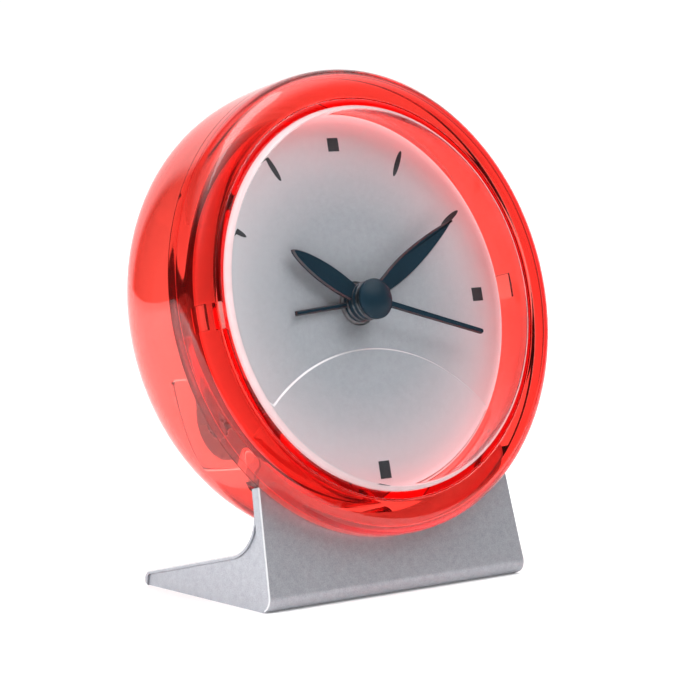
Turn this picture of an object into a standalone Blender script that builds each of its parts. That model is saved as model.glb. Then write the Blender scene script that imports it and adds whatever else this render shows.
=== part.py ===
"""Round desk alarm clock on a fixed wedge stand.

World frame: +Z up, the face looks towards -Y, origin under the middle of the
clock on the surface it stands on. Lengths below are millimetres.

The head (case, dial, hands, movement) leans back on the stand. It is modelled in
its own frame on the empty "head": x to the right of the face, y up the face and
z out of the face, with z = 0 at the lens rim. Depths are given as d = -z.
"""
import math

import bmesh
import bpy
from mathutils import Matrix, Vector

MM = 0.001

# ---------------------------------------------------------------- dimensions
TILT = 14.196                # lean of the face, degrees
HEAD_Z = 51.708              # lens rim centre above the floor
HEAD_Y = -12.876             # lens rim centre, measured from the middle of the clock

BODY_R = 41.29               # largest radius of the case
SEAM_D = 6.4                 # rear edge of the bezel
WALL = 1.3                   # wall of the translucent mouldings
REAR_LEN = 22.985            # rear case: length of the superellipse behind the seam
BACK_D = 27.8                # flat back of the rear case
CASE_POW = 4.0               # exponent of the case's superellipse

BEZEL_FRONT_D = 0.815
BEZEL_CREST_R = 36.1
BEZEL_BORE_R = 35.5
SCARF, SEAM_GAP = 1.2, 0.12  # slant of the joint between bezel and rear case

LENS_R = 34.05
LENS_FRONT_D, LENS_BACK_D = -0.6, 0.88
LENS_EDGE = 1.1

RING_R0, RING_R1 = 33.9, 35.45
RING_D0, RING_D1 = 0.9, 12.4

DIAL_R = 33.8
DIAL_D0, DIAL_D1 = 7.7, 8.5
DIAL_HOLE_R = 3.9
SKIRT_R, SKIRT_D = 33.2, 13.4
HILL_R, HILL_TOP, HILL_RISE = 34.0, -8.0, 0.35

# stand
STAND_W = 59.5               # width at the floor
STAND_TAPER = 0.072          # each side leans in, mm per mm of height
PLATE_D0, PLATE_D1 = 6.9, 9.0
PLATE_TOP = -25.0            # top of the plate, up the face
TONGUE_R = 37.0              # arc that the head sits in
FRONT_FILLET = 2.4
INNER_FILLET = 7.0
BASE_TOP_Y, BASE_TOP_Z = 5.29, 8.65   # point on the sloping top of the base
BASE_SLOPE = -0.258
BASE_BACK_Y = 29.85
SADDLE_GAP = 0.6

# movement levels (d0, d1) from front to back
LV_FRONT_PLATE = (8.8, 9.8)
LV_ALARM = (10.2, 10.9)
LV_HOUR = (11.2, 11.9)
LV_MINUTE = (12.2, 13.0)
LV_MIDDLE_PLATE = (13.3, 14.1)
LV_CENTRE = (14.4, 15.0)
LV_THIRD = (15.3, 16.0)
LV_SECOND = (16.3, 16.9)
LV_FIFTH = (17.2, 17.8)
LV_ROTOR = (18.1, 19.7)
HOUSING_D0, HOUSING_D1 = 10.1, 21.8
HOUSING_X = 21.0
HOUSING_Y0, HOUSING_Y1 = -9.0, 22.5
HOUSING_WALL = 1.2
HOUSING_FLOOR = 0.6          # wall next to the battery

# hands: (d of front face, d of back face)
LV_ALARM_HAND = (6.55, 7.15)
LV_HOUR_HAND = (5.2, 5.9)
LV_MINUTE_HAND = (4.1, 4.8)
LV_SECOND_HAND = (2.7, 3.4)
ALARM_HAND_L, HOUR_HAND_L, MINUTE_HAND_L, SECOND_HAND_L = 14.8, 17.6, 25.7, 25.2
ALARM_HAND_A, HOUR_HAND_A, MINUTE_HAND_A, SECOND_HAND_A = 266.0, 304.0, 59.0, 107.0
CAP_R, CAP_D = 3.6, 1.5

# concentric arbors (inner, outer radius)
SECOND_ARBOR = 0.5
MINUTE_TUBE = (0.75, 1.15)
HOUR_TUBE = (1.4, 1.8)
ALARM_TUBE = (2.05, 2.5)
BUSH = (2.75, 3.6)
BUSH_D = 7.5                 # front end of the fixed bush

# tooth numbers and centre distances
N_MINUTE_PINION, N_WORKS_WHEEL = 10, 30
N_WORKS_PINION, N_HOUR = 8, 32
N_ALARM_PINION, N_ALARM = 8, 32
N_SECOND_PINION, N_THIRD = 6, 45
N_THIRD_PINION, N_CENTRE = 6, 48
N_FIFTH_PINION, N_SECOND = 6, 36
N_ROTOR_PINION, N_FIFTH = 6, 30
A_WORKS = 9.6
A_ALARM = 9.6
A_THIRD = 8.64
A_FIFTH = 8.4
A_ROTOR = 5.76
TOOTH_TIP, TOOTH_ROOT = 0.22, 0.64     # tooth width over half the pitch
ADDENDUM, DEDENDUM = 0.8, 1.0          # in modules


def polar(radius, degrees):
    a = math.radians(degrees)
    return radius * math.cos(a), radius * math.sin(a)


WORKS_XY = polar(A_WORKS, 30.0)
ALARM_SET_XY = polar(A_ALARM, 150.0)
THIRD_XY = polar(A_THIRD, 90.0)
FIFTH_XY = polar(A_FIFTH, -15.0)
ROTOR_XY = tuple(a + b for a, b in zip(FIFTH_XY, polar(A_ROTOR, 5.0)))

SCREW_XY = (0.0, -38.2)      # case screw
SCREW_SHANK, SCREW_HEAD = 0.7, 1.5
SCREW_SEAT_D = 19.0

KNOB_R, KNOB_HOLE_R = 3.8, 4.3
KNOB_D0, KNOB_D1 = 24.6, 28.9
SWITCH_XY = (15.5, 15.0)
SWITCH_TRAVEL = 4.0
BUZZER_XY, BUZZER_R = (0.0, 15.5), 8.5

CELL_R, CELL_L = 7.25, 50.5
CELL_Y, CELL_D = -16.5, 17.6
DOOR_X, DOOR_Y0, DOOR_Y1 = 27.5, -24.9, -8.7
DOOR_GAP = 0.3

SEG_L, SEG_M, SEG_S = 40, 20, 12

# ------------------------------------------------------------------- scene
for ob in list(bpy.data.objects):
    bpy.data.objects.remove(ob, do_unlink=True)

COLL = bpy.context.scene.collection
T = math.radians(TILT)


def empty(name, location, rotation=(0, 0, 0), parent=None):
    ob = bpy.data.objects.new(name, None)
    ob.location = location
    ob.rotation_euler = rotation
    ob.parent = parent
    COLL.objects.link(ob)
    return ob


HEAD = empty("head", (0, HEAD_Y * MM, HEAD_Z * MM), (math.radians(90 - TILT), 0, 0))


def material(name, colour, roughness, metallic=0.0, transmission=0.0):
    mat = bpy.data.materials.new(name)
    mat.use_nodes = True
    bsdf = mat.node_tree.nodes["Principled BSDF"]
    bsdf.inputs["Base Color"].default_value = (*colour, 1)
    bsdf.inputs["Roughness"].default_value = roughness
    bsdf.inputs["Metallic"].default_value = metallic
    bsdf.inputs["Transmission Weight"].default_value = transmission
    mat.diffuse_color = (*colour, 1)
    return mat


FINISH = {
    "red": ((0.78, 0.03, 0.02), 0.08, 0.0, 0.8),
    "clear": ((0.95, 0.96, 0.97), 0.03, 0.0, 1.0),
    "silver": ((0.50, 0.51, 0.54), 0.35, 0.6, 0.0),
    "dial": ((0.55, 0.56, 0.59), 0.4, 0.5, 0.0),
    "dark": ((0.012, 0.022, 0.032), 0.3, 0.0, 0.0),
    "black": ((0.02, 0.02, 0.02), 0.5, 0.0, 0.0),
    "white": ((0.75, 0.74, 0.70), 0.5, 0.0, 0.0),
    "brass": ((0.70, 0.52, 0.22), 0.3, 1.0, 0.0),
    "steel": ((0.62, 0.62, 0.63), 0.3, 1.0, 0.0),
    "copper": ((0.60, 0.24, 0.10), 0.35, 1.0, 0.0),
    "board": ((0.04, 0.20, 0.08), 0.5, 0.0, 0.0),
    "cell": ((0.10, 0.11, 0.12), 0.35, 0.0, 0.0),
}


def add(name, bm, finish=None, parent=HEAD, location=(0, 0, 0), smooth=True):
    """Make an object of a bmesh in millimetres."""
    bmesh.ops.scale(bm, vec=(MM, MM, MM), verts=bm.verts)
    bmesh.ops.recalc_face_normals(bm, faces=bm.faces)
    me = bpy.data.meshes.new(name)
    bm.to_mesh(me)
    bm.free()
    ob = bpy.data.objects.new(name, me)
    ob.parent = parent
    ob.location = [c * MM for c in location]
    COLL.objects.link(ob)
    if smooth:
        me.shade_smooth()
        me.set_sharp_from_angle(angle=math.radians(32))
    if finish:
        me.materials.append(material(name, *FINISH[finish]))
    return ob


def tool(name, bm, parent=HEAD, location=(0, 0, 0)):
    """A solid that only cuts or extends another."""
    ob = add(name, bm, None, parent, location, smooth=False)
    ob.hide_render = True
    ob.display_type = 'WIRE'
    return ob


def combine(ob, other, operation):
    mod = ob.modifiers.new(operation.lower(), 'BOOLEAN')
    mod.operation = operation
    mod.object = other
    mod.solver = 'EXACT'
    return ob


def cut(ob, other):
    return combine(ob, other, 'DIFFERENCE')


def join(ob, other):
    return combine(ob, other, 'UNION')


def lathe(bm, profile, segments, centre=(0, 0)):
    """Spin a closed outline of (radius, d) about the z axis."""
    verts = [bm.verts.new((max(r, 0.0) + centre[0], centre[1], -d)) for r, d in profile]
    edges = []
    for i, a in enumerate(verts):
        b = verts[(i + 1) % len(verts)]
        if profile[i][0] <= 0 and profile[(i + 1) % len(verts)][0] <= 0:
            continue
        edges.append(bm.edges.new((a, b)))
    bmesh.ops.spin(bm, geom=verts + edges, cent=(*centre, 0), axis=(0, 0, 1),
                   angle=2 * math.pi, steps=segments, use_merge=False, use_duplicate=False)
    bmesh.ops.remove_doubles(bm, verts=bm.verts, dist=1e-4)
    return bm


def turned(profile, segments, centre=(0, 0)):
    return lathe(bmesh.new(), profile, segments, centre)


def disc(r, d0, d1, segments=SEG_S, centre=(0, 0), bm=None):
    bm = bm or bmesh.new()
    outline = [(centre[0] + x, centre[1] + y)
               for x, y in (polar(r, 360 * (i + 0.5) / segments) for i in range(segments))]
    return prism(outline, d0, d1, bm)


def prism(outline, d0, d1, bm=None):
    """Extrude an outline of (x, y) from depth d0 to d1."""
    bm = bm or bmesh.new()
    face = bm.faces.new([bm.verts.new((x, y, -d0)) for x, y in outline])
    out = bmesh.ops.extrude_face_region(bm, geom=[face])
    moved = [v for v in out["geom"] if isinstance(v, bmesh.types.BMVert)]
    bmesh.ops.translate(bm, verts=moved, vec=(0, 0, d0 - d1))
    return bm


def block(x0, x1, y0, y1, d0, d1, bm=None):
    return prism([(x0, y0), (x1, y0), (x1, y1), (x0, y1)], d0, d1, bm)


def tube(r0, r1, d0, d1, segments=SEG_S):
    return turned([(r0, d0), (r1, d0), (r1, d1), (r0, d1)], segments)


def superellipse(r0, r1, d0, d1, power, angles):
    """Quarter superellipse from (r1, d0) to (r0, d1)."""
    pts = []
    for deg in angles:
        a = math.radians(deg)
        c, s = max(math.cos(a), 0.0), max(math.sin(a), 0.0)
        pts.append((r0 + (r1 - r0) * c ** (2 / power), d0 + (d1 - d0) * s ** (2 / power)))
    return pts


# -------------------------------------------------------------------- case
def case_profile(offset, steps):
    """Rear case outline from the seam to the flat back, inset by offset."""
    pts = []
    for deg in steps:
        a = math.radians(deg)
        c, s = math.cos(a), math.sin(a)
        r = BODY_R * c ** (2 / CASE_POW)
        d = SEAM_D + REAR_LEN * s ** (2 / CASE_POW)
        nr = (r / BODY_R) ** (CASE_POW - 1) / BODY_R
        nd = ((d - SEAM_D) / REAR_LEN) ** (CASE_POW - 1) / REAR_LEN
        k = math.hypot(nr, nd)
        r, d = r - offset * nr / k, d - offset * nd / k
        if d > BACK_D - offset - 0.25:
            break
        pts.append((r, d))
    return pts


STEPS = (0.6, 6, 18, 31, 42, 51, 58.2)


def rear_outer(front_d):
    pts = case_profile(0.0, STEPS)
    r_end = pts[-1][0]
    return [(0, front_d - SCARF), (BODY_R - WALL, front_d - SCARF), (pts[0][0], front_d)] + pts + [(r_end - 2.2, BACK_D - 0.1),
                                                        (r_end - 4.0, BACK_D), (0, BACK_D)]


def rear_cavity():
    pts = case_profile(WALL, STEPS)
    r_end = pts[-1][0]
    return [(0, 2.0), (pts[0][0], 2.0)] + pts + [(r_end - 3.0, BACK_D - WALL), (0, BACK_D - WALL)]


def make_case():
    # front bezel: a hollow ring, open to the rear
    sweep = (0, 4, 14, 29, 45, 61, 76, 86, 90)
    outer = superellipse(BEZEL_CREST_R, BODY_R, SEAM_D, BEZEL_FRONT_D, CASE_POW, sweep)
    back = BEZEL_FRONT_D + WALL
    inner = superellipse(BEZEL_CREST_R, BODY_R - WALL, SEAM_D - SCARF, back, 3.2, (0, 8, 22, 38, 54, 70, 84, 90))
    profile = [(BEZEL_BORE_R, back), (BEZEL_BORE_R, 0.98), (BEZEL_BORE_R + 0.12, 0.84)] + outer[::-1] + inner
    bezel = add("front_bezel", turned(profile, SEG_L), "red")
    join(bezel, tool("bezel_boss", disc(0.78, 1.8, 2.7, SEG_S, SCREW_XY)))

    # rear case: a drum with a screw pillar inside
    rear = add("rear_case", turned(rear_outer(SEAM_D + SEAM_GAP), SEG_L), "red")
    cavity = tool("rear_cavity", turned(rear_cavity(), SEG_L))
    cut(cavity, tool("rear_pillar", disc(2.3, PLATE_D1 + 0.3, 40, SEG_M, SCREW_XY)))
    cut(rear, cavity)
    cuts = bmesh.new()
    lathe_at(cuts, [(0, 4), (1.1, 4), (1.1, SCREW_SEAT_D), (1.8, SCREW_SEAT_D), (1.8, 40), (0, 40)], SEG_S, SCREW_XY)
    for x, y in (WORKS_XY, ALARM_SET_XY):
        disc(KNOB_HOLE_R, 24, 32, SEG_M, (x, y), cuts)
    x, y = SWITCH_XY
    block(x - 2.0, x + SWITCH_TRAVEL + 2.0, y - 1.5, y + 1.5, 24, 32, cuts)
    x, y = BUZZER_XY
    disc(0.9, 24, 32, 8, (x, y), cuts)
    for i in range(6):
        hx, hy = polar(3.4, 60 * i)
        disc(0.9, 24, 32, 8, (x + hx, y + hy), cuts)
    block(-DOOR_X - DOOR_GAP, DOOR_X + DOOR_GAP, DOOR_Y0 - DOOR_GAP, DOOR_Y1 + DOOR_GAP, 16, 40, cuts)
    cut(rear, tool("rear_cuts", cuts))
    # front edge opened for the stand's tongue
    cut(rear, tool("rear_front_cut", block(-28.6, 28.6, -46, -20, 2, PLATE_D1 + 0.3)))

    # battery door: the piece of the back that fills the opening
    door = add("battery_door", block(-DOOR_X, DOOR_X, DOOR_Y0, DOOR_Y1, 16, 40), "red")
    combine(door, tool("door_outer", turned(rear_outer(SEAM_D + SEAM_GAP), SEG_L)), 'INTERSECT')
    cut(door, tool("door_inner", turned(rear_cavity(), SEG_L)))
    # finger groove across its upper edge
    cut(door, tool("door_groove", block(-4.5, 4.5, DOOR_Y1 - 2.4, DOOR_Y1 - 1.2, BACK_D - 0.7, 32)))


def lathe_at(bm, profile, segments, centre):
    extra = turned(profile, segments, (0, 0))
    me = bpy.data.meshes.new("turning")
    bmesh.ops.translate(extra, verts=extra.verts, vec=(*centre, 0))
    extra.to_mesh(me)
    extra.free()
    bm.from_mesh(me)
    bpy.data.meshes.remove(me)
    return bm


def make_front():
    # lens: flat disc with a rounded front edge, resting on the ring
    e = [(LENS_R - LENS_EDGE + LENS_EDGE * math.sin(math.radians(a)),
          LENS_FRONT_D + LENS_EDGE * (1 - math.cos(math.radians(a)))) for a in (0, 30, 60, 90)]
    add("lens", turned([(0, LENS_FRONT_D)] + e + [(LENS_R, LENS_BACK_D), (0, LENS_BACK_D)], SEG_L), "clear")

    ring = add("lens_ring", tube(RING_R0, RING_R1, RING_D0, RING_D1, SEG_L), "red")
    notches = block(-40, -34.65, -3.2, 1.4, 0, 3.2)
    block(-40, -34.65, -2.8, 1.6, 5.1, 10.2, notches)
    block(34.65, 40, -1.3, 3.2, 5.1, 10.2, notches)
    cut(ring, tool("ring_notches", notches))

    # dial: disc with a skirt behind its edge, raised lower field and centre hole
    dial = add("dial", disc(DIAL_R, DIAL_D0, DIAL_D1, SEG_L), "dial")
    skirt = tool("dial_skirt", tube(SKIRT_R, DIAL_R, DIAL_D1 - 0.2, SKIRT_D, SEG_L))
    cut(skirt, tool("skirt_gap", block(-40, 40, -40, -19.5, DIAL_D1 + 0.6, 20)))
    join(dial, skirt)
    cy = HILL_TOP - HILL_R
    half = math.degrees(math.acos(-cy / 2 / HILL_R))
    n = 14
    rim = DIAL_R - 0.25
    upper = [(HILL_R * math.sin(math.radians(a)), cy + HILL_R * math.cos(math.radians(a)))
             for a in (half - 1 - 2 * (half - 1) * i / n for i in range(n + 1))]
    lower = [(rim * math.sin(math.radians(a)), -rim * math.cos(math.radians(a)))
             for a in (-(half - 1) + 2 * (half - 1) * i / n for i in range(1, n))]
    join(dial, tool("dial_hill", prism(upper + lower, DIAL_D0 - HILL_RISE, DIAL_D0 + 0.3)))
    cut(dial, tool("dial_hole", disc(DIAL_HOLE_R, 5, 12, SEG_M)))


# -------------------------------------------------------------------- stand
def make_stand():
    ct, st = math.cos(T), math.sin(T)
    def face(up, d):             # point in the head's middle plane, as (y, z)
        return (HEAD_Y + up * st + d * ct, HEAD_Z + up * ct - d * st)
    off = HEAD_Y
    # front plane meets the floor
    v_floor = (PLATE_D0 * st - HEAD_Z) / ct
    y_floor = face(v_floor, PLATE_D0)[0]
    half = (math.pi / 2 - T) / 2
    tangent = FRONT_FILLET / math.tan(half)
    cy, cz = y_floor + tangent, FRONT_FILLET
    outline = []
    for i in range(7):           # rounded foot, from the floor to the front plane
        a = -math.pi / 2 - (math.pi / 2 + T) * i / 6
        outline.append((cy + FRONT_FILLET * math.cos(a), cz + FRONT_FILLET * math.sin(a)))
    outline.append(face(PLATE_TOP, PLATE_D0))
    outline.append(face(PLATE_TOP, PLATE_D1))
    # inner corner of plate and base, filled with a round
    slope = math.atan(BASE_SLOPE)
    bx, bz = BASE_TOP_Y + off, BASE_TOP_Z
    py, pz = face(-30, PLATE_D1)
    # line along the plate: (py, pz) + s * (st, ct); base: (bx, bz) + q * (cos, sin)
    dy, dz = math.cos(slope), math.sin(slope)
    det = st * -dz + dy * ct
    s = ((bx - py) * -dz + dy * (bz - pz)) / det
    ky, kz = py + s * st, pz + s * ct
    oy, oz = ky + INNER_FILLET * (st + dy), kz + INNER_FILLET * (ct + dz)
    a0 = math.atan2(-dz, -dy)
    a1 = math.atan2(-ct, -st)
    if a1 < a0:
        a1 += 2 * math.pi
    for i in range(8):
        a = a0 + (a1 - a0) * i / 7
        outline.append((oy + INNER_FILLET * math.cos(a), oz + INNER_FILLET * math.sin(a)))
    tip = BASE_BACK_Y + off
    z_tip = BASE_TOP_Z + BASE_SLOPE * (BASE_BACK_Y - 1.0 - BASE_TOP_Y)
    outline += [(tip - 1.0, z_tip), (tip - 0.35, z_tip - 0.45), (tip, z_tip - 1.1),
                (tip - 0.1, 0.5), (tip - 0.7, 0.0)]
    bm = bmesh.new()
    rows = []
    for side in (-1, 1):
        rows.append([bm.verts.new((side * (STAND_W / 2 - STAND_TAPER * z), y, z)) for y, z in outline])
    bm.faces.new(rows[0])
    bm.faces.new(rows[1][::-1])
    n = len(outline)
    for i in range(n):
        j = (i + 1) % n
        bm.faces.new((rows[0][i], rows[0][j], rows[1][j], rows[1][i]))
    stand = add("stand", bm, "silver", parent=None)
    cut(stand, tool("stand_arc", disc(TONGUE_R, 3, 14, SEG_L)))
    # saddle that clears the drum behind the plate
    front = PLATE_D1 + 0.05
    drum = [p for p in case_profile(-SADDLE_GAP, STEPS) if p[1] > front + 0.5]
    saddle = [(0, front), (BODY_R + SADDLE_GAP, front)] + drum + [(0, drum[-1][1])]
    cut(stand, tool("stand_saddle", turned(saddle, SEG_L)))
    cut(stand, tool("stand_hole", disc(0.85, PLATE_D0 + 0.4, 14, SEG_S, SCREW_XY)))


# -------------------------------------------------------------------- hands
def leaf(length, base, belly, belly_at, start, n=9):
    """Outline of a leaf-shaped blade along +y."""
    right = []
    for i in range(n):
        s = i / n
        y = start + (length - start) * s
        t = (y - start) / (belly_at - start)
        if t <= 1:
            w = base + (belly - base) * math.sin(t * math.pi / 2)
        else:
            q = (y - belly_at) / (length - belly_at)
            w = belly * (1 - q ** 1.7) ** 0.8
        right.append((w, y))
    right.append((0.0, length))
    return right + [(-x, y) for x, y in right[-2::-1]]


def bar(length, w0, w1, start):
    return [(w0, start), (w1, length - 0.3), (w1 - 0.3, length), (0.3 - w1, length),
            (-w1, length - 0.3), (-w0, start)]


def turn_outline(outline, clock_deg):
    a = -math.radians(clock_deg)
    c, s = math.cos(a), math.sin(a)
    return [(x * c - y * s, x * s + y * c) for x, y in outline]


def make_hands():
    def hand(name, outline, angle, level, collar, bore):
        ob = add(name, prism(turn_outline(outline, angle), *level), "dark")
        join(ob, tool(name + "_collar", disc(collar[0], collar[1], collar[2], 20)))
        cut(ob, tool(name + "_bore", disc(bore, collar[1] - 1, collar[2] + 1, 20)))
        return ob
    hand("alarm_hand", bar(ALARM_HAND_L, 0.5, 0.45, 2.9), ALARM_HAND_A, LV_ALARM_HAND,
         (3.5, LV_ALARM_HAND[0] - 0.2, LV_ALARM_HAND[1] + 0.05), ALARM_TUBE[1] + 0.15)
    hand("hour_hand", leaf(HOUR_HAND_L, 1.55, 1.95, 8.0, 2.6), HOUR_HAND_A, LV_HOUR_HAND,
         (3.45, LV_HOUR_HAND[0] - 0.15, LV_HOUR_HAND[1] + 0.15), HOUR_TUBE[1] + 0.15)
    hand("minute_hand", leaf(MINUTE_HAND_L, 1.1, 1.85, 11.5, 2.6), MINUTE_HAND_A, LV_MINUTE_HAND,
         (3.45, LV_MINUTE_HAND[0] - 0.15, LV_MINUTE_HAND[1] + 0.1), MINUTE_TUBE[1] + 0.15)
    second = add("second_hand", prism(turn_outline(bar(SECOND_HAND_L, 0.62, 0.5, 1.0), SECOND_HAND_A),
                                      *LV_SECOND_HAND), "dark")
    d1 = LV_SECOND_HAND[1] + 0.05
    rim = 2.5
    cap = [(0, CAP_D)] + [(CAP_R * math.sin(math.radians(a)), rim - (rim - CAP_D) * math.cos(math.radians(a)))
                          for a in (18, 36, 54, 72, 90)] + [(CAP_R, d1), (SECOND_ARBOR + 0.15, d1),
                                                            (SECOND_ARBOR + 0.15, 2.2), (0, 2.2)]
    join(second, tool("second_cap", turned(cap, 24)))
    cut(second, tool("second_bore", disc(SECOND_ARBOR + 0.15, 2.2, 6, SEG_S)))


# ----------------------------------------------------------------- movement
def gear_outline(teeth, module, phase_deg):
    """Tooth outline; a tooth points at phase_deg."""
    rp = module * teeth / 2
    pts = []
    for i in range(teeth):
        a0 = math.radians(phase_deg) + 2 * math.pi * i / teeth
        for r, f in ((rp - DEDENDUM * module, -TOOTH_ROOT), (rp + ADDENDUM * module, -TOOTH_TIP),
                     (rp + ADDENDUM * module, TOOTH_TIP), (rp - DEDENDUM * module, TOOTH_ROOT)):
            a = a0 + f * math.pi / teeth
            pts.append((r * math.cos(a), r * math.sin(a)))
    return pts


def gear(teeth, module, level, phase_deg, bm=None):
    return prism(gear_outline(teeth, module, phase_deg), level[0], level[1], bm)


def mate(n_wheel, wheel_phase, n_pinion, line_deg):
    """Phase of a pinion on the line at line_deg so that a gap meets the wheel's tooth."""
    off = (line_deg - wheel_phase) / (360 / n_wheel)
    off -= math.floor(off)
    # wheel tooth positions past the line, carried over to the pinion, half a pitch on
    return line_deg + 180 + off * 360 / n_pinion + 180 / n_pinion


def make_motion_work():
    m_min = 2 * A_WORKS / (N_MINUTE_PINION + N_WORKS_WHEEL)
    m_hour = 2 * A_WORKS / (N_WORKS_PINION + N_HOUR)
    m_al = 2 * A_ALARM / (N_ALARM_PINION + N_ALARM)
    line = 30.0

    alarm = add("alarm_wheel", gear(N_ALARM, m_al, LV_ALARM, 0), "white")
    join(alarm, tool("alarm_tube", disc(ALARM_TUBE[1], LV_ALARM_HAND[0] - 0.1, LV_ALARM[1] - 0.1, SEG_S)))
    cut(alarm, tool("alarm_bore", disc(ALARM_TUBE[0], 4, 14, SEG_S)))

    hour = add("hour_wheel", gear(N_HOUR, m_hour, LV_HOUR, 0), "white")
    join(hour, tool("hour_tube", disc(HOUR_TUBE[1], LV_HOUR_HAND[0] - 0.1, LV_HOUR[1] - 0.1, SEG_S)))
    cut(hour, tool("hour_bore", disc(HOUR_TUBE[0], 4, 14, SEG_S)))

    minute = add("minute_pinion", gear(N_MINUTE_PINION, m_min, LV_MINUTE, 0), "brass")
    join(minute, tool("minute_tube", disc(MINUTE_TUBE[1], LV_MINUTE_HAND[0] - 0.1, LV_CENTRE[1], SEG_S)))
    cut(minute, tool("minute_bore", disc(MINUTE_TUBE[0], 2, 16, SEG_S)))

    works = add("works_wheel", gear(N_WORKS_WHEEL, m_min, LV_MINUTE, mate(N_MINUTE_PINION, 0, N_WORKS_WHEEL, line)),
                "white", location=(*WORKS_XY, 0))
    tools = gear(N_WORKS_PINION, m_hour, (LV_HOUR[0], LV_MINUTE[0] + 0.2), mate(N_HOUR, 0, N_WORKS_PINION, line))
    join(works, tool("works_pinion", tools, location=(*WORKS_XY, 0)))
    join(works, tool("works_arbor", disc(0.95, 9.0, 27.0, SEG_S), location=(*WORKS_XY, 0)))

    setp = add("alarm_set_pinion", gear(N_ALARM_PINION, m_al, LV_ALARM, mate(N_ALARM, 0, N_ALARM_PINION, 150.0)),
               "white", location=(*ALARM_SET_XY, 0))
    join(setp, tool("alarm_set_arbor", disc(0.95, 9.0, 27.0, SEG_S), location=(*ALARM_SET_XY, 0)))

    for name, xy in (("time_set_knob", WORKS_XY), ("alarm_set_knob", ALARM_SET_XY)):
        n = 15                    # fluted grip
        outline = []
        for i in range(n):
            outline += [polar(KNOB_R, 360 * (i + f) / n) for f in (0.0, 0.5)]
            outline += [polar(KNOB_R - 0.35, 360 * (i + 0.75) / n)]
        knob = add(name, prism(outline, KNOB_D0 + 1.5, KNOB_D1), "black", location=(*xy, 0))
        join(knob, tool(name + "_hub", disc(2.4, KNOB_D0, KNOB_D0 + 2.0, SEG_S), location=(*xy, 0)))
        cut(knob, tool(name + "_bore", disc(1.2, KNOB_D0 - 1, 27.4, SEG_S), location=(*xy, 0)))
        cut(knob, tool(name + "_slot", block(-2.6, 2.6, -0.35, 0.35, KNOB_D1 - 0.6, 32), location=(*xy, 0)))


def make_train():
    m_third = 2 * A_THIRD / (N_SECOND_PINION + N_THIRD)
    m_centre = 2 * A_THIRD / (N_THIRD_PINION + N_CENTRE)
    m_second = 2 * A_FIFTH / (N_FIFTH_PINION + N_SECOND)
    m_fifth = 2 * A_ROTOR / (N_ROTOR_PINION + N_FIFTH)

    centre = add("centre_wheel", gear(N_CENTRE, m_centre, LV_CENTRE, 0), "brass")
    cut(centre, tool("centre_bore", disc(MINUTE_TUBE[1] + 0.2, 12, 17, SEG_S)))

    third_pin = mate(N_CENTRE, 0, N_THIRD_PINION, 90.0)
    third_phase = mate(N_SECOND_PINION, 0, N_THIRD, 90.0)
    third = add("third_wheel", gear(N_THIRD, m_third, LV_THIRD, third_phase), "white", location=(*THIRD_XY, 0))
    join(third, tool("third_pinion", gear(N_THIRD_PINION, m_centre, (LV_CENTRE[0], LV_THIRD[0] + 0.2), third_pin),
                     location=(*THIRD_XY, 0)))
    join(third, tool("third_arbor", disc(0.4, 13.5, 20.4, 10), location=(*THIRD_XY, 0)))

    second = add("second_wheel", gear(N_SECOND, m_second, LV_SECOND, 0), "white")
    join(second, tool("second_pinion", gear(N_SECOND_PINION, m_third, (LV_THIRD[0], LV_SECOND[0] + 0.2), 0)))
    join(second, tool("second_arbor", disc(SECOND_ARBOR, 2.45, 20.4, SEG_S)))

    fifth_pin = mate(N_SECOND, 0, N_FIFTH_PINION, -15.0)
    fifth = add("fifth_wheel", gear(N_FIFTH, m_fifth, LV_FIFTH, 0), "white", location=(*FIFTH_XY, 0))
    join(fifth, tool("fifth_pinion", gear(N_FIFTH_PINION, m_second, (LV_SECOND[0], LV_FIFTH[0] + 0.2), fifth_pin),
                     location=(*FIFTH_XY, 0)))
    join(fifth, tool("fifth_arbor", disc(0.3, 13.5, 20.4, 10), location=(*FIFTH_XY, 0)))

    rotor = add("rotor", disc(1.9, *LV_ROTOR, 20), "black", location=(*ROTOR_XY, 0))
    join(rotor, tool("rotor_pinion", gear(N_ROTOR_PINION, m_fifth, (LV_FIFTH[0], LV_ROTOR[0] + 0.2),
                                          mate(N_FIFTH, 0, N_ROTOR_PINION, 5.0)), location=(*ROTOR_XY, 0)))
    join(rotor, tool("rotor_arbor", disc(0.3, 13.5, 20.4, 10), location=(*ROTOR_XY, 0)))


MOVEMENT_SCREWS = ((-17.5, 19.0), (17.5, 19.0))


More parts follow.
